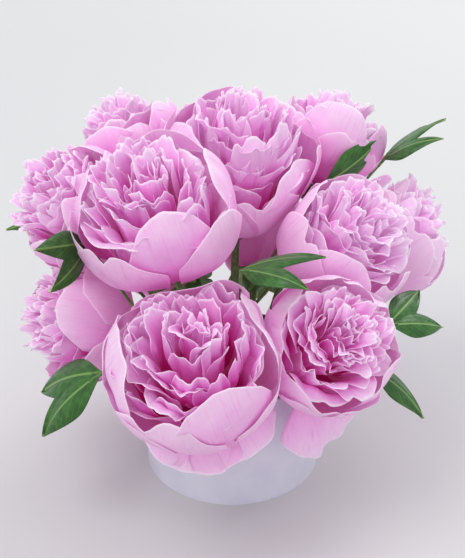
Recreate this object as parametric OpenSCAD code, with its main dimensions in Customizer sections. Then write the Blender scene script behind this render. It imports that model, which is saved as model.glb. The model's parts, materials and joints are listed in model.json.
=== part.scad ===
// Round flower box: a board box that holds a lift-out liner with wet floral foam.
// Twelve double peonies and eight leaf sprigs stand in the foam, and each one pulls out along its stem.
// Millimetres, +Z up. The origin is the centre of the box's bottom face, and -Y is the front.

/* [Box] */
// Outer diameter of the box
box_d = 125; // [118:1:134]
// Height of the box wall
box_h = 84; // [70:1:86]
// Thickness of the board wall
board_t = 2.2; // [1.5:0.1:3]
// Thickness of the base disc
base_t = 2.5; // [2:0.1:4]

/* [Liner and foam] */
// Gap between the wall and the liner
liner_gap = 0.7; // [0.4:0.1:1.2]
// Wall thickness of the plastic liner
liner_t = 0.8; // [0.6:0.1:1.2]
// How far the liner's rim stays below the box rim
liner_drop = 4; // [2:0.5:8]
// Gap between the liner and the foam block
foam_gap = 0.4; // [0.3:0.1:1]
// How far the foam stands above the box rim
foam_rise = 10; // [6:1:12]
// Width of the trimmed shoulder round the top of the foam
foam_shoulder = 12; // [6:1:16]
// Running clearance round each stem in the foam
stem_clearance = 0.05; // [0.02:0.01:0.1]

/* [Peonies] */
// Diameter of a peony stem
stem_d = 5.5; // [4:0.1:6]
// Radius of the round receptacle under the petals
receptacle_r = 9; // [8:0.5:10]
// Thickness of a petal, ruffles included
petal_t = 1.2; // [1:0.1:1.6]
// Pairs of petals in each cup
petal_pairs = 3; // [2:1:4]
// How much wider a petal is than its share of the cup
petal_lap = 1.12; // [1.02:0.02:1.2]
// Spacing between a petal and the one that it laps
petal_gap = 2.4; // [2:0.1:3]
// Angle that a hanging outer petal spans round the flower
skirt_fan = 50; // [30:1:52]
// Number of sepals under a flower
sepal_count = 5; // [3:1:6]

/* [Leaves] */
// Diameter of a leaf stalk
stalk_d = 2.6; // [2:0.1:3]
// Thickness of a leaf blade
leaf_t = 1; // [0.8:0.1:1.4]
// Radius of the curve along which a blade droops
leaf_bend_r = 90; // [80:1:140]

/* [Hidden] */
$fn = 64;
wall_r = box_d / 2 - board_t;
liner_r = wall_r - liner_gap;
liner_h = box_h - liner_drop;
foam_r = liner_r - liner_t - foam_gap;
foam_z = base_t + liner_t;
foam_top = box_h + foam_rise;
pad_r = 8;         // flat pad under the guard petals
pad_h = 5;         // its height
seat_h = 4;        // height of the receptacle above its own centre
sepal_r = 40;      // radius of the curve of a sepal
sepal_reach = 32;  // length of a sepal along that curve, in degrees
core_r = 4;        // radius of the core that carries the inner petals
joint_r = 2.6;     // joint where a leaf stalk carries its blades

// Each flower: name, centre of the bloom, [turn from the front, tilt above the horizon] of the
// bloom's face, radius of the bloom, foot of the stem in the foam, and
// [radius, reach, [turns]] of its hanging outer petals, where reach is the arc of the curve in degrees.
FLOWERS = [
    ["front",           [-24, -103, 145],  [-12, 59],   50, [-17, -18, 76], [70, 32, [-60, -8, 44]]],
    ["front_right",     [63, -73, 139],    [35, 44],    41, [10, -15, 75],  [70, 56, [4]]],
    ["upper_left",      [-49, -39, 217],   [-25, 68],   48, [-5, -5, 53],   []],
    ["top",             [5, 44, 217],      [10, 76],    50, [-1, 15, 51],   []],
    ["right",           [78, 5, 173],      [60, 51],    43, [6, 4, 57],     []],
    ["far_right",       [118, 76, 143],    [110, 37],   42, [25, 12, 74],   []],
    ["left_high",       [-111, 20, 194],   [-78, 42],   40, [-15, -7, 59],  []],
    ["left_low",        [-110, 7, 109],    [-71, 21],   40, [-17, 5, 77],   []],
    ["back_left_high",  [-73, 88, 211],    [-140, 52],  37, [-15, 12, 53],  []],
    ["back_right_high", [72, 103, 207],    [145, 52],   37, [12, 10, 53],   []],
    ["back_left_low",   [-50, 94, 124],    [-150, 28],  38, [-13, 23, 78],  []],
    ["back_right_low",  [28, 100, 126],    [160, 27],   36, [13, 26, 77],   []],
];

// Each sprig: name, foot of the stalk in the foam, top of the stalk,
// [turn, tilt, roll] of its first blade, [fan angles of the blades], and blade length and width.
SPRIGS = [
    ["top_right",   [-22, 14, 74],  [64, 47, 197],    [111, 20, -92],   [0],           60, 24],
    ["left",        [-28, -19, 70], [-94, -37, 194],  [-15, 26, 71],    [0, 32],       54, 20],
    ["left_low",    [-22, -35, 79], [-85, -67, 114],  [-80, -31, 21],   [0, -32],      70, 30],
    ["centre",      [6, -26, 70],   [5, -72, 193],    [45, 23, -15],    [0, 42],       54, 20],
    ["right",       [20, -20, 72],  [103, -40, 134],  [112, -7, -37],   [0, 35],       54, 20],
    ["right_low",   [27, -4, 78],   [91, -44, 104],   [83, -28, -14],   [0],           60, 22],
    ["back_right",  [-13, 16, 79],  [110, 87, 197],   [109, 48, 23],    [-40, 0, 40],  54, 22],
    ["back_left",   [-28, 16, 74],  [-110, 60, 160],  [-123, 16, -1],   [-40, 0, 40],  54, 22],
];

PIECES = ["stem", "calyx", "guard_petals", "inner_petals"];

// Unit vector for a turn from the front and a tilt above the horizon.
function heading(turn, tilt) = [sin(turn) * cos(tilt), -cos(turn) * cos(tilt), sin(tilt)];
function turn_of(v) = atan2(v.x, -v.y);
function tilt_of(v) = asin(v.z / norm(v));
// Flat top of a flower's receptacle, and the centre of its round body.
function seat(f) = f[1] - f[3] * heading(f[2][0], f[2][1]);
function receptacle_centre(f) = seat(f) - seat_h * heading(f[2][0], f[2][1]);

// Points +Z along a turn and tilt.
module face(turn, tilt) {
    rotate([0, 0, turn]) rotate([90 - tilt, 0, 0]) children();
}

// A rod of radius r from a towards b, between the distances "from" and "to" along that line.
module rod(a, b, from, to, r) {
    translate(a) face(turn_of(b - a), tilt_of(b - a))
        translate([0, 0, from]) cylinder(h = to - from, r = r);
}

// One petal: a slice of a thin ball of radius r that stands on the origin and opens upwards.
// It runs from the distance "root" off the axis up to "angle" from the ball's lowest point.
module petal(r, root, angle, width) {
    start = asin(root / r);
    fan = [for (i = [0 : 4]) 2 * r * [sin(start + i * (angle - start) / 4),
                                      -cos(start + i * (angle - start) / 4)]];
    rotate([0, 0, -90 - width / 2]) rotate_extrude(angle = width) translate([0, r]) intersection() {
        difference() {
            circle(r = r);
            circle(r = r - petal_t);
        }
        polygon(concat([[0, 0]], fan));
    }
}

// A cup of petals that stands on height z: every second one lies inside its neighbours.
module cup(z, r, root, angle, offset) {
    step = 180 / petal_pairs;
    translate([0, 0, z])
        for (i = [0 : 2 * petal_pairs - 1])
            rotate([0, 0, offset + i * step])
                translate([0, 0, (i % 2) * petal_gap])
                    petal(r - (i % 2) * petal_gap, root, angle, step * petal_lap);
}

module box_wall() {
    lip = board_t / 2;
    color("whitesmoke") rotate_extrude() {
        translate([wall_r, 0]) square([board_t, box_h - lip]);
        translate([wall_r + lip, box_h - lip]) circle(r = lip);
    }
}

module box_base() {
    color("white") cylinder(h = base_t, r = wall_r);
}

module liner() {
    color("gainsboro") translate([0, 0, base_t]) difference() {
        cylinder(h = liner_h - base_t, r = liner_r);
        translate([0, 0, liner_t]) cylinder(h = liner_h, r = liner_r - liner_t);
    }
}

// The foam block: shoulder trimmed to a cone, one hole for each stem and stalk.
module floral_foam() {
    color("darkolivegreen") difference() {
        rotate_extrude() polygon([
            [0, foam_z], [foam_r, foam_z], [foam_r, box_h],
            [foam_r - foam_shoulder, foam_top], [0, foam_top]
        ]);
        for (f = FLOWERS)
            rod(f[4], receptacle_centre(f), 0, box_d, stem_d / 2 + stem_clearance);
        for (s = SPRIGS)
            rod(s[1], s[2], 0, box_d, stalk_d / 2 + stem_clearance);
    }
}

module stem(f) {
    top = receptacle_centre(f);
    color("olivedrab") rod(f[4], top, 0, norm(top - f[4]) - seat_h, stem_d / 2);
}

// Receptacle with a socket for the stem, and sepals that curve down round it.
module calyx(f) {
    top = receptacle_centre(f);
    color("yellowgreen") difference() {
        translate(seat(f)) face(f[2][0], f[2][1]) {
            intersection() {
                translate([0, 0, -seat_h]) sphere(r = receptacle_r);
                translate([0, 0, -2 * receptacle_r])
                    cylinder(h = 2 * receptacle_r, r = 2 * receptacle_r);
            }
            for (i = [0 : sepal_count - 1])
                rotate([180, 0, i * 360 / sepal_count]) petal(sepal_r, receptacle_r - 2, sepal_reach, 50);
        }
        rod(f[4], top, 0, norm(top - f[4]) - seat_h, stem_d / 2);
    }
}

// The big outer petals: a cup on a flat pad, and on some flowers a skirt that hangs outwards.
module guard_petals(f) {
    skirt = f[5];
    color("orchid") translate(seat(f)) face(f[2][0], f[2][1]) {
        cylinder(h = pad_h, r = pad_r);
        cup(0, f[3], pad_r - 2, 104, 0);
        if (len(skirt) > 0)
            for (turn = skirt[2])
                translate([0, 0, pad_h]) rotate([180, 0, turn + 180])
                    petal(skirt[0], pad_r - 2, skirt[1], skirt_fan);
    }
}

// The crowded inner petals: four cups, one above the other, round a core.
module inner_petals(f) {
    r = f[3];
    color("hotpink") translate(seat(f)) face(f[2][0], f[2][1]) {
        translate([0, 0, pad_h]) cylinder(h = 1.25 * r, r = core_r);
        cup(pad_h, 0.78 * r, core_r - 1, 118, 20);
        cup(0.32 * r, 0.62 * r, core_r - 1, 128, 0);
        cup(0.70 * r, 0.46 * r, core_r - 1, 136, 20);
        cup(1.20 * r, 0.34 * r, core_r - 1, 142, 0);
    }
}

// Outline of one pointed blade from the origin along -Y.
module blade_outline(length, width) {
    steps = 6;
    side = [for (i = [0 : steps]) [width / 2 * pow(sin(180 * i / steps), 0.8), -length * i / steps]];
    polygon(concat(side, [for (i = [1 : steps - 1]) [-side[steps - i].x, side[steps - i].y]]));
}

// A stalk with its blades fanned from one faceted joint at the top, all drooping along one curve.
module leaf_sprig(s) {
    reach = norm(s[2] - s[1]);
    color("forestgreen") {
        rod(s[1], s[2], 0, reach, stalk_d / 2);
        rod(s[1], s[2], reach - joint_r, reach + joint_r, joint_r, $fn = 12);
        translate(s[2]) rotate([0, 0, s[3][0]]) rotate([-s[3][1], 0, 0]) rotate([0, s[3][2], 0])
            intersection() {
                translate([0, 0, -s[5]]) linear_extrude(s[5] + leaf_t)
                    for (fan = s[4])
                        rotate(fan) blade_outline(s[5], s[6]);
                translate([-s[5], 0, leaf_t / 2 - leaf_bend_r]) rotate([0, 90, 0]) difference() {
                    cylinder(h = 2 * s[5], r = leaf_bend_r);
                    translate([0, 0, -1]) cylinder(h = 2 * s[5] + 2, r = leaf_bend_r - leaf_t);
                }
            }
    }
}

box_wall();
box_base();
liner();
floral_foam();
for (f = FLOWERS) {
    stem(f);
    calyx(f);
    guard_petals(f);
    inner_petals(f);
}
for (s = SPRIGS) {
    leaf_sprig(s);
}
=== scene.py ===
import json
import math

import bpy
import numpy as np
from mathutils import Matrix, Vector


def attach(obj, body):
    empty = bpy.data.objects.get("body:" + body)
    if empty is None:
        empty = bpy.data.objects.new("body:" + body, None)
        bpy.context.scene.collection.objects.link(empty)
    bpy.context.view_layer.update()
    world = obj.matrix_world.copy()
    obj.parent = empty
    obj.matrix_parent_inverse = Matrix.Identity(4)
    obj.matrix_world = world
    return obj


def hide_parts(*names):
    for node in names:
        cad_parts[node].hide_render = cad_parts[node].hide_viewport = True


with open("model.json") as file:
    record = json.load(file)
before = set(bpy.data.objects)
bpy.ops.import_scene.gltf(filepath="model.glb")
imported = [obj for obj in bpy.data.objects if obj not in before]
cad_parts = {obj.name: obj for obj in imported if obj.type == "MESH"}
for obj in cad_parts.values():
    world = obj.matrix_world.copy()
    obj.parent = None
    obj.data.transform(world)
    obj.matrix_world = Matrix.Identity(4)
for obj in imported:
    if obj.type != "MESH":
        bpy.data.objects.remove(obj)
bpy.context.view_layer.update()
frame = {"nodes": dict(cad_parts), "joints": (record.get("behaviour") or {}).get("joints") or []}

MM = 0.001
SEAT_H = 4 * MM          # receptacle centre to seat, as in the CAD model
BLOOM_TOP = 1.808        # height of the inner petals over the seat, in bloom radii
STALK_R = 1.3 * MM
COLLAR_R = 2.6 * MM
DROOP_R = 90 * MM        # leaves droop along this radius
PAD_H = 5 * MM
HELD = 1.04              # petals are shaped inside this many bloom radii
SPREAD = 1.17            # where there is room, they then spread to this many
TIGHT = 0.3 * MM         # half of the gap kept between neighbouring blooms
BLEND = 16.0             # how sharply the free room turns from one limit to the next
PETAL_SEED = 100         # first seed of the flowers
LEAF_SEED = 500          # first seed of the leaf sprigs
FLOOR_EDGE = 40.0        # half the width of the floor, so that its end is never in view


# ---------------------------------------------------------------- frames of the CAD pieces

def points(node):
    """Vertices of a CAD node as an array."""
    mesh = frame["nodes"][node].data
    flat = np.empty(len(mesh.vertices) * 3, np.float32)
    mesh.vertices.foreach_get("co", flat)
    return flat.reshape(-1, 3).astype(float)


def unit(v):
    return v / np.linalg.norm(v)


def pull_axis(body):
    """Direction in which a body slides out of the foam."""
    for joint in frame["joints"]:
        if joint["child"] == body:
            return unit(np.array(joint["axis"], float))


def bloom_frame(name):
    """Seat of a bloom, its three axes (across, up the face, out of the face) and its radius."""
    axis = pull_axis("flower_" + name)
    stem = points("stem_" + name)
    reach = stem @ axis
    centre = stem[reach > reach.max() - 1e-5].mean(0) + SEAT_H * axis
    inner = points("inner_petals_" + name)
    out = unit(inner.mean(0) - centre)
    seat = centre + SEAT_H * out
    radius = ((inner - seat) @ out).max() / BLOOM_TOP
    across = unit(np.array([-out[1], out[0], 0.0]))
    up = np.cross(out, across)
    axes = np.array([across, up, out])
    return {"seat": seat, "centre": seat + radius * out, "axes": axes, "r": radius}


def sprig_frame(name):
    """Foot and top of a leaf stalk."""
    axis = pull_axis("sprig_" + name)
    mesh = points("leaf_sprig_" + name)
    reach = mesh @ axis
    foot = mesh[reach < reach.min() + 1e-5].mean(0)
    along = (mesh - foot) @ axis
    off = np.linalg.norm(mesh - foot - along[:, None] * axis, axis=1)
    collar = np.abs(off - COLLAR_R) < 0.02 * MM
    return foot, foot + axis * along[collar].mean()


# ---------------------------------------------------------------- thin sheets: petals and leaves

def bezier(controls, n=48):
    """Points on the Bezier curve of any number of control points."""
    controls = np.array(controls, float)
    degree = len(controls) - 1
    t = np.linspace(0, 1, n)[:, None]
    terms = [math.comb(degree, k) * t ** k * (1 - t) ** (degree - k) for k in range(degree + 1)]
    return sum(term * control for term, control in zip(terms, controls))


def arc_points(radius, start, end, centre, flip=1.0, n=48):
    """Points (distance from the axis, height) on a circle, with angles from its lowest point."""
    angle = np.radians(np.linspace(start, end, n))
    return np.stack([radius * np.sin(angle), centre - flip * radius * np.cos(angle)], 1)


def sheet(curve, azimuth, width, grid, rng, root=0.25, peak=0.7, point=0.0, cup=0.5, shoulder=0.22,
          waves=(3.0, 0.0), jag=(9.0, 0.0), lean=0.0, crumple=0.0, thick=0.5 * MM, notch=0.0):
    """A thin closed petal or leaf on a midline given as (distance from the axis, height) points.

    It fans out from root * width to width at peak. point narrows it to a tip, shoulder rounds its
    far corners, and notch splits the middle of its rim. waves and jag are (count, depth) of the
    ruffles and of the ragged rim. cup is half the angle that it curves across, in radians.
    """
    rows, columns = grid
    steps = 1 - (1 - np.linspace(0, 1, rows)[:, None]) ** 1.4
    v = np.linspace(-1, 1, columns)[None, :]
    phase = rng.uniform(0, 2 * math.pi, 8)
    ragged = 0.5 + 0.5 * np.sin(jag[0] * v * 0.8 + phase[0]) * np.sin(jag[0] * v * 1.3 + phase[1])
    ragged = ragged + 0.22 * np.abs(np.sin(jag[0] * v * 2.2 + phase[2]))
    split = notch * np.exp(-((v - 0.3 * math.sin(phase[3])) / 0.16) ** 2)
    cut = shoulder * np.abs(v) ** 3 + jag[1] * ragged + split
    t = steps * (1 - cut * steps ** 1.5)
    length = np.linalg.norm(np.diff(curve, axis=0), axis=1).sum()

    dense = np.linspace(0, 1, len(curve))
    slope = np.gradient(curve, axis=0)
    slope = slope / np.linalg.norm(slope, axis=1)[:, None]
    r, z = (np.interp(t, dense, curve[:, k]) for k in (0, 1))
    tr, tz = (np.interp(t, dense, slope[:, k]) for k in (0, 1))

    grow = np.clip(t / peak, 0, 1)
    half = 0.5 * width * (root + (1 - root) * np.sin(grow * math.pi / 2) ** 1.2)
    if point > 0:
        half = half * np.clip(1 - np.clip((t - peak) / (1 - peak), 0, 1) ** (1.6 / point), 0.02, 1)
    s = v * half
    bend = cup / (0.5 * width)
    side = np.sin(bend * s) / bend
    sag = (1 - np.cos(bend * s)) / bend
    frill = np.sin(waves[0] * math.pi * v + phase[4])
    frill = frill + 0.5 * np.sin(2.3 * waves[0] * math.pi * v + phase[5])
    ripple = waves[1] * t ** 2.2 * frill * (0.45 + 0.55 * np.abs(v))
    fold = np.sin(5 * t + 3 * v + phase[6]) * np.sin(7 * v - 4 * t + phase[7])
    lift = ripple + crumple * np.sqrt(np.clip(t, 0, 1)) * fold - sag
    side = side + lean * t ** 2

    er = np.array([math.cos(azimuth), math.sin(azimuth), 0.0])
    eb = np.array([-math.sin(azimuth), math.cos(azimuth), 0.0])
    ez = np.array([0.0, 0.0, 1.0])
    outward = tz[..., None] * er - tr[..., None] * ez
    along = tr[..., None] * er + tz[..., None] * ez
    sway = waves[1] * 0.35 * t ** 3 * np.cos(waves[0] * math.pi * v + phase[5])
    middle = r[..., None] * er + z[..., None] * ez + side[..., None] * eb
    middle = middle + lift[..., None] * outward + sway[..., None] * along

    du = np.gradient(middle, axis=0)
    dv = np.gradient(middle, axis=1)
    normal = np.cross(du, dv)
    normal = normal / (np.linalg.norm(normal, axis=2)[..., None] + 1e-12)
    skin = 0.5 * thick * (1 - 0.5 * steps ** 3)[..., None]
    count = rows * columns
    both = np.concatenate([middle + normal * skin, middle - normal * skin]).reshape(-1, 3)

    index = np.arange(count).reshape(rows, columns)
    corners = [index[:-1, :-1], index[1:, :-1], index[1:, 1:], index[:-1, 1:]]
    faces = np.stack(corners, -1).reshape(-1, 4)
    loop = np.concatenate([index[0, :], index[1:, -1], index[-1, -2::-1], index[-2:0:-1, 0]])
    following = np.roll(loop, -1)
    edge = np.stack([loop, following, following + count, loop + count], 1)
    quads = np.concatenate([faces, faces[:, ::-1] + count, edge])
    sides = np.repeat([0, 1, 0], [len(faces), len(faces), len(edge)])

    rim = ((1 - cut) - t) * length / MM
    rim = np.minimum(rim, (1 - np.abs(v)) * half / MM * 1.2 + 3 * (1 - t))
    data = {
        "along": np.tile(t.ravel(), 2),
        "across": np.tile(np.broadcast_to(v * half / (0.5 * width), t.shape).ravel(), 2),
        "rim": np.tile(rim.ravel(), 2),
    }
    return {"co": both, "quads": quads, "sides": sides, "data": data}


def lathe(profile, sides, ribs=0, rib_depth=0.0):
    """A turned shape through (distance from the axis, height) points, with optional ribs."""
    profile = np.array(profile, float)
    angle = np.linspace(0, 2 * math.pi, sides, endpoint=False)
    swell = 1 + rib_depth * np.cos(ribs * angle)
    x = profile[:, :1] * swell * np.cos(angle)
    y = profile[:, :1] * swell * np.sin(angle)
    z = np.broadcast_to(profile[:, 1:], x.shape)
    rows = len(profile)
    co = np.stack([x, y, z], -1).reshape(-1, 3)
    index = np.arange(rows * sides).reshape(rows, sides)
    turned = np.roll(index, -1, axis=1)
    quads = np.stack([index[:-1], turned[:-1], turned[1:], index[1:]], -1).reshape(-1, 4)
    t = np.repeat(np.linspace(0, 1, rows), sides)
    data = {"along": t, "across": np.tile(np.sin(angle), rows), "rim": np.full(rows * sides, 20.0)}
    return {"co": co, "quads": quads, "sides": np.zeros(len(quads), int), "data": data}


def tube(path, radii, sides):
    """A round tube along a path of points, with its own radius at each point and closed ends."""
    path = np.array(path, float)
    slope = np.gradient(path, axis=0)
    slope = slope / np.linalg.norm(slope, axis=1)[:, None]
    first = np.cross(slope[0], [0.31, 0.17, 0.93])
    rings = []
    for place, direction, radius in zip(path, slope, radii):
        first = unit(first - direction * (first @ direction))
        second = np.cross(direction, first)
        angle = np.linspace(0, 2 * math.pi, sides, endpoint=False)[:, None]
        rings.append(place + radius * (np.cos(angle) * first + np.sin(angle) * second))
    co = np.concatenate([path[:1], *rings, path[-1:]])
    index = 1 + np.arange(len(path) * sides).reshape(len(path), sides)
    turned = np.roll(index, -1, axis=1)
    quads = np.stack([index[:-1], turned[:-1], turned[1:], index[1:]], -1).reshape(-1, 4)
    last = len(co) - 1
    caps = [[0, turned[0, k], index[0, k], index[0, k]] for k in range(sides)]
    caps += [[last, index[-1, k], turned[-1, k], turned[-1, k]] for k in range(sides)]
    quads = np.concatenate([quads, caps])
    t = np.concatenate([[0], np.repeat(np.linspace(0, 1, len(path)), sides), [1]])
    data = {"along": t, "across": np.zeros(len(co)), "rim": np.full(len(co), 20.0)}
    return {"co": co, "quads": quads, "sides": np.full(len(quads), 2), "data": data}


class Piece:
    """Gathers sheets into one mesh object."""

    def __init__(self):
        self.parts = []
        self.count = 0

    def add(self, part, tint=0.5):
        part = dict(part)
        part["quads"] = part["quads"] + self.count
        part["data"] = dict(part["data"], tint=np.full(len(part["co"]), tint))
        self.count += len(part["co"])
        self.parts.append(part)

    def build(self, name, materials, slot, body, *replaced):
        co = np.concatenate([part["co"] for part in self.parts])
        quads = np.concatenate([part["quads"] for part in self.parts]).tolist()
        sides = np.concatenate([part["sides"] for part in self.parts])
        faces = [quad[:3] if quad[2] == quad[3] else quad for quad in quads]
        mesh = bpy.data.meshes.new(name)
        mesh.from_pydata(co.tolist(), [], faces)
        for key in self.parts[0]["data"]:
            values = np.concatenate([part["data"][key] for part in self.parts]).astype(np.float32)
            mesh.attributes.new(key, "FLOAT", "POINT").data.foreach_set("value", values)
        for material in materials:
            mesh.materials.append(material)
        picked = np.minimum(sides, len(materials) - 1).astype(np.int32)
        mesh.polygons.foreach_set("material_index", picked)
        mesh.shade_smooth()
        mesh.update()
        piece = bpy.data.objects.new(name, mesh)
        bpy.context.scene.collection.objects.link(piece)
        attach(piece, body)
        if replaced:
            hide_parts(*replaced)


def placed(part, origin, axes):
    """The part moved from its own frame to the row frame."""
    return dict(part, co=origin + part["co"] @ axes)


def held_in(part, centre, limit):
    """The part eased back inside a ball, so that it stays clear of its neighbours."""
    away = part["co"] - centre
    distance = np.linalg.norm(away, axis=1)
    soft = 0.88 * limit
    eased = soft + (limit - soft) * np.tanh((distance - soft) / (limit - soft))
    scale = np.where(distance > soft, eased / np.maximum(distance, 1e-9), 1.0)
    return dict(part, co=centre + away * scale[:, None])


def spread_out(part, place, others):
    """The part, in the row frame, grown into the free room and pressed flat at its neighbours."""
    centre, radius = place["centre"], place["r"]
    away = part["co"] - centre
    distance = np.linalg.norm(away, axis=1)
    toward = away / np.maximum(distance, 1e-9)[:, None]
    inverse = np.full(len(away), (SPREAD * radius) ** -BLEND)
    for other in others:
        gap = other["centre"] - centre
        length = np.linalg.norm(gap)
        plane = (length ** 2 + radius ** 2 - other["r"] ** 2) / (2 * length) - TIGHT
        facing = np.maximum(toward @ gap / length, 1e-3)
        inverse += (facing / plane) ** BLEND
    room = inverse ** (-1 / BLEND)
    off_root = np.degrees(np.arccos(np.clip(-toward @ place["axes"][2], -1, 1)))
    weight = np.clip((off_root - 20) / 45, 0, 1)
    weight = weight * weight * (3 - 2 * weight)
    scale = 1 + (room / (HELD * radius) - 1) * weight
    return dict(part, co=centre + away * scale[:, None])


# ---------------------------------------------------------------- materials

def linear(r, g, b):
    """A colour given in 0 to 255 display values, as Blender's linear values."""
    values = [c / 255 for c in (r, g, b)]
    return [c / 12.92 if c <= 0.04045 else ((c + 0.055) / 1.055) ** 2.4 for c in values] + [1.0]


class Graph:
    """A short way to write a node material."""

    def __init__(self, name):
        self.material = bpy.data.materials.new(name)
        self.material.use_nodes = True
        self.tree = self.material.node_tree
        self.shader = self.tree.nodes["Principled BSDF"]

    def node(self, kind, inputs=(), **settings):
        node = self.tree.nodes.new("ShaderNode" + kind)
        for key, value in settings.items():
            setattr(node, key, value)
        for key, value in dict(inputs).items():
            self.put(node.inputs[key], value)
        return node

    def put(self, socket, value):
        if isinstance(value, bpy.types.NodeSocket):
            self.tree.links.new(value, socket)
        else:
            socket.default_value = value

    def attribute(self, name):
        return self.node("Attribute", attribute_name=name).outputs["Fac"]

    def math(self, operation, a, b=0.0):
        node = self.node("Math", operation=operation)
        self.put(node.inputs[0], a)
        self.put(node.inputs[1], b)
        return node.outputs[0]

    def noise(self, vector, scale, detail=3.0, rough=0.5):
        inputs = {"Vector": vector, "Scale": scale, "Detail": detail, "Roughness": rough}
        return self.node("TexNoise", inputs).outputs["Fac"]

    def stretch(self, value, low, high, to_low=0.0, to_high=1.0):
        inputs = {"Value": value, "From Min": low, "From Max": high, "To Min": to_low, "To Max": to_high}
        return self.node("MapRange", inputs, interpolation_type="SMOOTHSTEP").outputs["Result"]

    def ramp(self, value, stops):
        node = self.node("ValToRGB", {"Fac": value})
        bar = node.color_ramp.elements
        while len(bar) < len(stops):
            bar.new(0.5)
        for element, (position, colour) in zip(bar, stops):
            element.position = position
            element.color = colour
        return node.outputs["Color"]

    def mix(self, factor, a, b):
        node = self.node("Mix", data_type="RGBA")
        self.put(node.inputs["Factor"], factor)
        self.put(node.inputs["A"], a)
        self.put(node.inputs["B"], b)
        return node.outputs["Result"]

    def bump(self, height, strength, distance):
        inputs = {"Height": height, "Strength": strength, "Distance": distance}
        self.put(self.shader.inputs["Normal"], self.node("Bump", inputs).outputs["Normal"])

    def finish(self, colour, **settings):
        self.put(self.shader.inputs["Base Color"], colour)
        for key, value in settings.items():
            self.shader.inputs[key.replace("_", " ")].default_value = value
        return self.material

    def position(self):
        return self.node("NewGeometry").outputs["Position"]

    def lanes(self, across, along, wide, long):
        """Coordinates that make noise run lengthwise, as veins and fibres do."""
        inputs = {
            "X": self.math("MULTIPLY", across, wide),
            "Y": self.math("MULTIPLY", along, long),
            "Z": self.math("MULTIPLY", self.attribute("tint"), 37.0),
        }
        return self.node("CombineXYZ", inputs).outputs["Vector"]


def petal_material(name, stops, pale, rim, rim_width, vein):
    """Petal: deep at the root, paler outwards, with a light rim and fine lengthwise veins. It also glows
    faintly in its own colour: painted light that stands in for light passing through the thin petals and
    filling their folds.
    """
    graph = Graph(name)
    along = graph.attribute("along")
    across = graph.attribute("across")
    cloud = graph.noise(graph.position(), 90.0, 2.0)
    shifted = graph.math("ADD", along, graph.math("MULTIPLY", graph.math("SUBTRACT", cloud, 0.5), 0.30))
    tint = graph.attribute("tint")
    shifted = graph.math("ADD", shifted, graph.math("MULTIPLY", graph.math("SUBTRACT", tint, 0.5), 0.25))
    colour = graph.ramp(shifted, stops)
    colour = graph.mix(graph.math("MULTIPLY", graph.stretch(tint, 0.35, 1.0), 0.55), colour, pale)
    streak = graph.noise(graph.lanes(across, along, 9.0, 1.3), 3.0, 4.0, 0.6)
    colour = graph.mix(graph.stretch(streak, 0.52, 0.78, 0.0, vein), colour, stops[1][1])
    wander = graph.noise(graph.lanes(across, along, 5.0, 3.0), 2.0, 2.0)
    edge = graph.math("ADD", graph.attribute("rim"), graph.math("MULTIPLY", wander, rim_width * 0.9))
    colour = graph.mix(graph.stretch(edge, rim_width * 2.4, rim_width * 0.4, 0.0, 0.72), colour, rim)
    graph.bump(streak, 0.22, 0.0006)
    # Painted light: the petal glows faintly in its own colour, standing in for light that shines through
    # the thin petals into their folds. It is not sampled as a lamp.
    graph.put(graph.shader.inputs["Emission Color"], colour)
    graph.material.cycles.emission_sampling = "NONE"
    return graph.finish(colour, Emission_Strength=0.075, Roughness=0.5, Subsurface_Weight=0.4,
                        Subsurface_Scale=0.004, Subsurface_Radius=(1.0, 0.55, 0.85), Specular_IOR_Level=0.3)


def leaf_material(name, blade, dark, rib, gloss, vein):
    """Leaf: lighter midrib and side veins that run towards the tip."""
    graph = Graph(name)
    along = graph.attribute("along")
    across = graph.attribute("across")
    width = graph.math("ABSOLUTE", across)
    mottled = graph.noise(graph.position(), 160.0, 3.0)
    colour = graph.mix(graph.stretch(mottled, 0.35, 0.7), dark, blade)
    swept = graph.math("SUBTRACT", graph.math("MULTIPLY", along, 9.0), graph.math("MULTIPLY", width, 3.2))
    wave = graph.math("ABSOLUTE", graph.math("SINE", graph.math("MULTIPLY", swept, 3.1416)))
    side = graph.stretch(wave, 0.16, 0.02, 0.0, vein)
    colour = graph.mix(side, colour, rib)
    middle = graph.stretch(width, 0.085, 0.03)
    colour = graph.mix(graph.math("MULTIPLY", middle, 0.8), colour, rib)
    veins = graph.math("MULTIPLY", graph.math("MAXIMUM", side, middle), 1.5)
    height = graph.math("SUBTRACT", mottled, veins)
    graph.bump(height, 0.35, 0.0008)
    return graph.finish(colour, Roughness=gloss, Specular_IOR_Level=0.45, Subsurface_Weight=0.05,
                        Subsurface_Scale=0.003)


def stem_material():
    """Green stem with paler lengthwise streaks."""
    graph = Graph("stem_green")
    place = graph.node("Mapping", {"Vector": graph.position(), "Scale": (1.0, 1.0, 0.12)}).outputs["Vector"]
    streak = graph.noise(place, 900.0, 3.0)
    colour = graph.ramp(streak, [(0.3, linear(70, 110, 48)), (0.55, linear(104, 142, 70)),
                                 (0.8, linear(142, 168, 98))])
    graph.bump(streak, 0.25, 0.0004)
    return graph.finish(colour, Roughness=0.45)


def paper_material(name, light, shade):
    """Satin-coated paper board: faint fibres and a very slight mottle."""
    graph = Graph(name)
    mottle = graph.noise(graph.position(), 35.0, 3.0)
    fibre = graph.noise(graph.position(), 1400.0, 4.0, 0.6)
    colour = graph.mix(graph.stretch(mottle, 0.3, 0.75), light, shade)
    colour = graph.mix(graph.stretch(fibre, 0.62, 0.8, 0.0, 0.12), colour, linear(200, 196, 210))
    graph.bump(fibre, 0.12, 0.0003)
    return graph.finish(colour, Roughness=0.36, Specular_IOR_Level=0.5, Coat_Weight=0.15,
                        Coat_Roughness=0.3)


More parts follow.
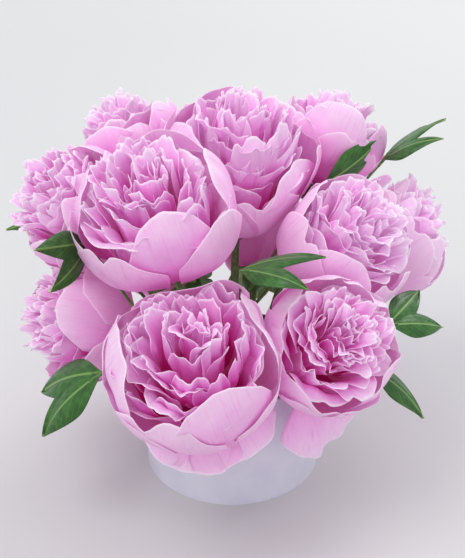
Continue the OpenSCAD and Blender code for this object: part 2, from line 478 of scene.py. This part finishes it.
def liner_material():
    """Milky waterproof plastic with faint moulding marks."""
    graph = Graph("liner_plastic")
    marks = graph.noise(graph.position(), 70.0, 2.0)
    colour = graph.mix(graph.stretch(marks, 0.3, 0.7), linear(222, 226, 230), linear(206, 212, 218))
    graph.bump(marks, 0.1, 0.0005)
    return graph.finish(colour, Roughness=0.3)


def foam_material():
    """Floral foam: fine open cells in a dull wet green, darker in the cell hollows as painted shade."""
    graph = Graph("floral_foam")
    cells = graph.node("TexVoronoi", {"Vector": graph.position(), "Scale": 900.0}).outputs["Distance"]
    damp = graph.noise(graph.position(), 60.0, 3.0)
    colour = graph.mix(graph.stretch(damp, 0.35, 0.65), linear(62, 92, 58), linear(90, 120, 76))
    # Painted shade: the colour darkens in the cell hollows that the bump sinks.
    colour = graph.mix(graph.stretch(cells, 0.5, 0.1, 0.0, 0.5), colour, linear(40, 62, 40))
    graph.bump(cells, 0.6, 0.0008)
    return graph.finish(colour, Roughness=0.9)


INNER = petal_material(
    "inner_petal",
    [(0.12, linear(186, 0, 104)), (0.42, linear(222, 36, 156)), (0.64, linear(238, 122, 210)),
     (0.84, linear(246, 182, 236)), (1.0, linear(250, 214, 247))],
    linear(247, 208, 243), linear(254, 238, 253), 1.2, 0.35)
GUARD = petal_material(
    "guard_petal",
    [(0.02, linear(214, 50, 156)), (0.25, linear(232, 96, 192)), (0.55, linear(241, 144, 218)),
     (0.8, linear(245, 176, 231)), (1.0, linear(249, 204, 241))],
    linear(247, 204, 240), linear(253, 232, 250), 1.1, 0.4)
LEAF_TOP = leaf_material(
    "leaf_top", linear(52, 112, 34), linear(32, 86, 22), linear(124, 168, 82), 0.3, 0.3)
LEAF_UNDER = leaf_material(
    "leaf_under", linear(150, 176, 122), linear(128, 158, 104), linear(188, 206, 150), 0.55, 0.5)
SEPAL_TOP = leaf_material(
    "sepal_top", linear(92, 142, 62), linear(70, 118, 48), linear(150, 184, 104), 0.4, 0.2)
SEPAL_UNDER = leaf_material(
    "sepal_under", linear(132, 168, 92), linear(112, 150, 78), linear(176, 200, 128), 0.5, 0.3)
STEM = stem_material()


# ---------------------------------------------------------------- the flowers

# Style of each bloom: paleness of the inner petals, paleness of the guard petals, ruffle depth,
# raggedness, opening (how far the inner petals lean outwards, in degrees), fineness of the grid.
STYLES = {
    "front": (0.32, 0.62, 1.0, 1.0, 2, 1.0),
    "front_right": (0.38, 0.55, 1.1, 1.0, 24, 1.0),
    "upper_left": (0.36, 0.50, 1.0, 0.9, 8, 1.0),
    "top": (0.50, 0.50, 0.75, 0.6, 0, 1.0),
    "right": (0.74, 0.66, 1.0, 0.9, 14, 1.0),
    "far_right": (0.80, 0.78, 0.9, 0.7, 16, 0.9),
    "left_high": (0.48, 0.45, 1.1, 1.0, 12, 0.9),
    "left_low": (0.44, 0.42, 1.1, 1.0, 12, 0.9),
    "back_left_high": (0.52, 0.55, 1.0, 0.8, 8, 0.8),
    "back_right_high": (0.62, 0.60, 1.0, 0.8, 8, 0.8),
    "back_left_low": (0.46, 0.50, 1.0, 0.8, 10, 0.8),
    "back_right_low": (0.58, 0.60, 1.0, 0.8, 10, 0.8),
}

# Rings of inner petals: count, tip angle off the bloom's axis, tip radius, width, in bloom radii.
RINGS = [
    (6, 77, 0.94, 1.10), (7, 66, 0.92, 0.90), (9, 54, 0.93, 0.68), (10, 42, 0.93, 0.58),
    (9, 31, 0.93, 0.50), (7, 19, 0.92, 0.46), (4, 8, 0.90, 0.42),
]

# Hanging petals of a bloom: ball radius, reach in degrees, turns about the bloom's axis.
SKIRTS = {
    "front": (70 * MM, 44, (-60, -8, 44)),
    "front_right": (70 * MM, 60, (4,)),
}


def guard_petals(name, place, others, rng):
    """Outer cup of broad smooth petals in two layers, each on its own slightly different ball."""
    _, pale, ruffle, _, _, detail = STYLES[name]
    radius = place["r"]
    piece = Piece()
    grid = (int(24 * detail), int(22 * detail))
    centre = np.array([0, 0, radius])
    for k in range(9):
        inside = k % 2
        ball = radius * (1.04 - 0.07 * inside - 0.02 * rng.random())
        end = 104 + 12 * inside + rng.uniform(-12, 16)
        curve = arc_points(ball, 9, end, radius)
        lip = np.clip(np.linspace(0, 1, len(curve)) - 0.72, 0, 1) / 0.28
        curve[:, 0] += rng.uniform(-0.16, 0.07) * radius * lip ** 2
        azimuth = -math.pi / 2 + k * 2 * math.pi / 9 + rng.uniform(-0.2, 0.2)
        width = radius * rng.uniform(1.15, 1.5)
        part = sheet(curve, azimuth, width, grid, rng, root=0.16, peak=0.72, cup=rng.uniform(0.5, 0.7),
                     shoulder=0.20 + 0.10 * rng.random(),
                     waves=(rng.uniform(1.2, 2.0), 0.05 * radius * ruffle), jag=(5.0, 0.02),
                     crumple=0.018 * radius, thick=0.6 * MM, notch=0.10 * (rng.random() > 0.6),
                     lean=rng.uniform(-0.12, 0.12) * radius)
        part = placed(held_in(part, centre, radius * HELD), place["seat"], place["axes"])
        piece.add(spread_out(part, place, others), np.clip(pale + rng.uniform(-0.2, 0.2), 0, 1))
    if name in SKIRTS:
        ball, reach, turns = SKIRTS[name]
        for turn in turns:
            curve = arc_points(ball, 6, reach, PAD_H - ball, flip=-1.0)
            part = sheet(curve, math.radians(turn - 90 + rng.uniform(-4, 4)), ball * 1.0, (26, 24), rng,
                         root=0.2, peak=0.65, cup=-0.5, shoulder=0.30, waves=(1.5, 0.06 * ball),
                         jag=(4.0, 0.03), crumple=0.02 * ball, thick=0.6 * MM)
            piece.add(placed(part, place["seat"], place["axes"]), rng.uniform(0.8, 1.0))
    piece.build("guard_petals_of_" + name, [GUARD], "guard_petal", "flower_" + name,
                "guard_petals_" + name)


def inner_petals(name, place, others, rng):
    """Crowd of ruffled petals that fills the cup and domes over it."""
    pale, _, ruffle, rag, opening, detail = STYLES[name]
    radius = place["r"]
    piece = Piece()
    centre = np.array([0, 0, radius])
    for ring, (count, angle, tip, width) in enumerate(RINGS):
        start = rng.uniform(0, 2 * math.pi)
        smooth = max(0.0, 1 - 0.5 * ring)
        for k in range(count):
            polar = math.radians(angle + rng.uniform(-9, 9))
            reach = radius * (tip + rng.uniform(-0.14, 0.07))
            end = np.array([reach * math.sin(polar), radius + reach * math.cos(polar)])
            root = np.array([0.10 * radius, PAD_H + radius * (0.05 + 0.08 * ring)])
            facing = math.radians(angle * 0.55 + opening + rng.uniform(-34, 30))
            heading = np.array([math.sin(facing), math.cos(facing)])
            rise = end[1] - root[1]
            early = root + np.array([0.80 * end[0], 0.10 * rise])
            late = end - heading * 0.45 * np.linalg.norm(end - root)
            curve = bezier([root, early, late, end])
            azimuth = start + (k + rng.uniform(-0.35, 0.35)) * 2 * math.pi / count
            rows = int(round((17 - ring // 3) * detail))
            part = sheet(curve, azimuth, radius * width * rng.uniform(0.75, 1.2), (rows, rows + 3), rng,
                         root=0.12, peak=0.85, cup=rng.uniform(0.3, 0.95), shoulder=0.22,
                         waves=(rng.uniform(1.0, 2.4), (0.035 + 0.02 * (1 - smooth)) * radius * ruffle),
                         jag=(rng.uniform(4, 8), (0.048 - 0.03 * smooth) * rag), crumple=0.03 * radius,
                         lean=rng.uniform(-0.16, 0.16) * radius, thick=0.45 * MM,
                         notch=0.15 * rag * (1 - 0.6 * smooth) * (rng.random() > 0.45))
            part = placed(held_in(part, centre, radius * HELD), place["seat"], place["axes"])
            piece.add(spread_out(part, place, others), np.clip(pale + rng.uniform(-0.32, 0.28), 0, 1))
    piece.build("inner_petals_of_" + name, [INNER], "inner_petal", "flower_" + name,
                "inner_petals_" + name)


def calyx(name, place, rng):
    """Round green receptacle with five pointed sepals that bend back."""
    piece = Piece()
    profile = [(0.2 * MM, 0), (6 * MM, 0.1 * MM), (8.2 * MM, -0.8 * MM), (8.9 * MM, -3 * MM),
               (8.6 * MM, -6 * MM), (7.0 * MM, -9.4 * MM), (4.8 * MM, -11.8 * MM), (3.4 * MM, -12.8 * MM),
               (2.9 * MM, -13.4 * MM)]
    bulb = lathe(profile, 40, 5, 0.02)
    piece.add(placed(bulb, place["seat"], place["axes"]), 0.4)
    for k in range(5):
        curve = arc_points(40 * MM, 9, 31 + 3 * rng.random(), -40 * MM, flip=-1.0)
        azimuth = k * 2 * math.pi / 5 - math.pi / 2 + rng.uniform(-0.08, 0.08)
        part = sheet(curve, azimuth, 17 * MM, (16, 12), rng, root=0.6, peak=0.45, point=0.8, cup=-0.3,
                     shoulder=0.0, waves=(1.2, 0.5 * MM), thick=0.7 * MM)
        piece.add(placed(part, place["seat"], place["axes"]), rng.random())
    piece.build("calyx_of_" + name, [SEPAL_TOP, SEPAL_UNDER], "sepal_green", "flower_" + name,
                "calyx_" + name)


SPOTS = {flower: bloom_frame(flower) for flower in STYLES}
for number, flower in enumerate(STYLES):
    seed = np.random.default_rng(PETAL_SEED + number)
    neighbours = [SPOTS[other] for other in STYLES if other != flower]
    guard_petals(flower, SPOTS[flower], neighbours, seed)
    inner_petals(flower, SPOTS[flower], neighbours, seed)
    calyx(flower, SPOTS[flower], seed)


# ---------------------------------------------------------------- the leaves

# Blades of each sprig: (turn, tilt, roll) in degrees, fan angles in degrees, length and width in mm.
BLADES = {
    "top_right": ((111, 20, -92), (0,), 60, 24),
    "left": ((-15, 26, 71), (0, 32), 54, 20),
    "left_low": ((-80, -31, 21), (0, -32), 70, 30),
    "centre": ((45, 23, -15), (0, 42), 54, 20),
    "right": ((112, -7, -37), (0, 35), 54, 20),
    "right_low": ((83, -28, -14), (0,), 60, 22),
    "back_right": ((109, 48, 23), (-40, 0, 40), 54, 22),
    "back_left": ((-123, 16, -1), (-40, 0, 40), 54, 22),
}


def blade(length, width, rng):
    """A pointed leaf along -Y in its own frame, folded along the midrib and drooping."""
    angle = np.linspace(0.0, length / DROOP_R, 48)
    curve = np.stack([DROOP_R * np.sin(angle), DROOP_R * (np.cos(angle) - 1)], 1)
    return sheet(curve, -math.pi / 2, width, (34, 17), rng, root=0.05, peak=0.42, point=1.0, cup=-0.45,
                 shoulder=0.0, waves=(1.3, 0.05 * width), crumple=0.02 * width, thick=0.5 * MM)


def leaf_sprig(name, rng):
    """Stalk with its fanned blades."""
    foot, top = sprig_frame(name)
    facing, fans, length, width = BLADES[name]
    turn, tilt, roll = (math.radians(a) for a in facing)
    base = Matrix.Rotation(turn, 3, "Z") @ Matrix.Rotation(-tilt, 3, "X") @ Matrix.Rotation(roll, 3, "Y")
    piece = Piece()
    steps = np.linspace(0, 1, 14)[:, None]
    path = foot + (top - foot) * steps
    piece.add(tube(path, STALK_R * (1.0 - 0.25 * steps[:, 0]), 10))
    for fan in fans:
        turned = np.array(base @ Matrix.Rotation(math.radians(fan), 3, "Z"))
        part = blade(length * MM, width * MM, rng)
        piece.add(placed(part, top, turned.T), rng.random())
        rib = bezier([top - unit(top - foot) * 6 * MM, top, top + turned @ [0, -8 * MM, 0]], 8)
        piece.add(tube(rib, np.linspace(1.2, 0.6, 8) * MM, 8))
    piece.build("leaves_of_" + name, [LEAF_TOP, LEAF_UNDER, STEM], "leaf_green", "sprig_" + name,
                "leaf_sprig_" + name)


for number, sprig in enumerate(BLADES):
    leaf_sprig(sprig, np.random.default_rng(LEAF_SEED + number))


# ---------------------------------------------------------------- the box and what is in it

def finish_node(node, material):
    """Gives a CAD node its finished material."""
    mesh = frame["nodes"][node].data
    mesh.materials.clear()
    mesh.materials.append(material)


# The board itself is white. The lavender tint of these paper colours is painted reflection of the pink
# petals, with some painted shade from the flowers.
finish_node("box_wall", paper_material("box_paper", linear(232, 231, 243), linear(222, 219, 236)))
finish_node("box_base", paper_material("base_paper", linear(236, 234, 240), linear(226, 224, 232)))
finish_node("liner", liner_material())
finish_node("floral_foam", foam_material())
for flower in STYLES:
    finish_node("stem_" + flower, STEM)


# ---------------------------------------------------------------- floor, light and camera

def floor_material():
    """Seamless pale studio floor."""
    graph = Graph("studio_floor")
    soft = graph.noise(graph.position(), 1.2, 1.0)
    colour = graph.mix(graph.stretch(soft, 0.3, 0.7), linear(211, 212, 212), linear(216, 216, 215))
    return graph.finish(colour, Roughness=0.85, Specular_IOR_Level=0.1)


def area_light(name, place, target, size, energy, tone):
    lamp = bpy.data.lights.new(name, "AREA")
    lamp.shape = "DISK"
    lamp.size = size
    lamp.energy = energy
    lamp.color = tone
    holder = bpy.data.objects.new(name, lamp)
    holder.location = place
    direction = np.array(target, float) - np.array(place, float)
    away = Vector(direction.tolist()).to_track_quat("-Z", "Y")
    holder.rotation_euler = away.to_euler()
    bpy.context.scene.collection.objects.link(holder)


floor_mesh = bpy.data.meshes.new("floor")
corners = [(-1, -1), (1, -1), (1, 1), (-1, 1)]
floor_mesh.from_pydata([(FLOOR_EDGE * x, FLOOR_EDGE * y, 0) for x, y in corners], [], [(0, 1, 2, 3)])
floor_mesh.materials.append(floor_material())
floor = bpy.data.objects.new("floor", floor_mesh)
bpy.context.scene.collection.objects.link(floor)

world = bpy.data.worlds.new("studio")
bpy.context.scene.world = world
world.use_nodes = True
sky = world.node_tree.nodes["Background"].inputs
sky["Color"].default_value = (0.95, 0.96, 1.0, 1.0)
sky["Strength"].default_value = 0.88
area_light("key", (-0.9, -0.5, 1.9), (0, 0.05, 0.15), 1.2, 11.0, (1.0, 0.99, 0.98))
area_light("back", (1.3, 1.7, 1.7), (0.5, 0.9, 0), 1.6, 20.0, (1.0, 1.0, 0.99))

camera_data = bpy.data.cameras.new("camera")
camera_data.sensor_width = 36.0
camera_data.lens = 83.87
camera = bpy.data.objects.new("camera", camera_data)
camera.location = (0.0, -0.7793, 0.5861)
camera.rotation_euler = (math.radians(60.58), 0.0, 0.0)
bpy.context.scene.collection.objects.link(camera)
bpy.context.scene.camera = camera
bpy.context.scene.view_settings.view_transform = "Standard"
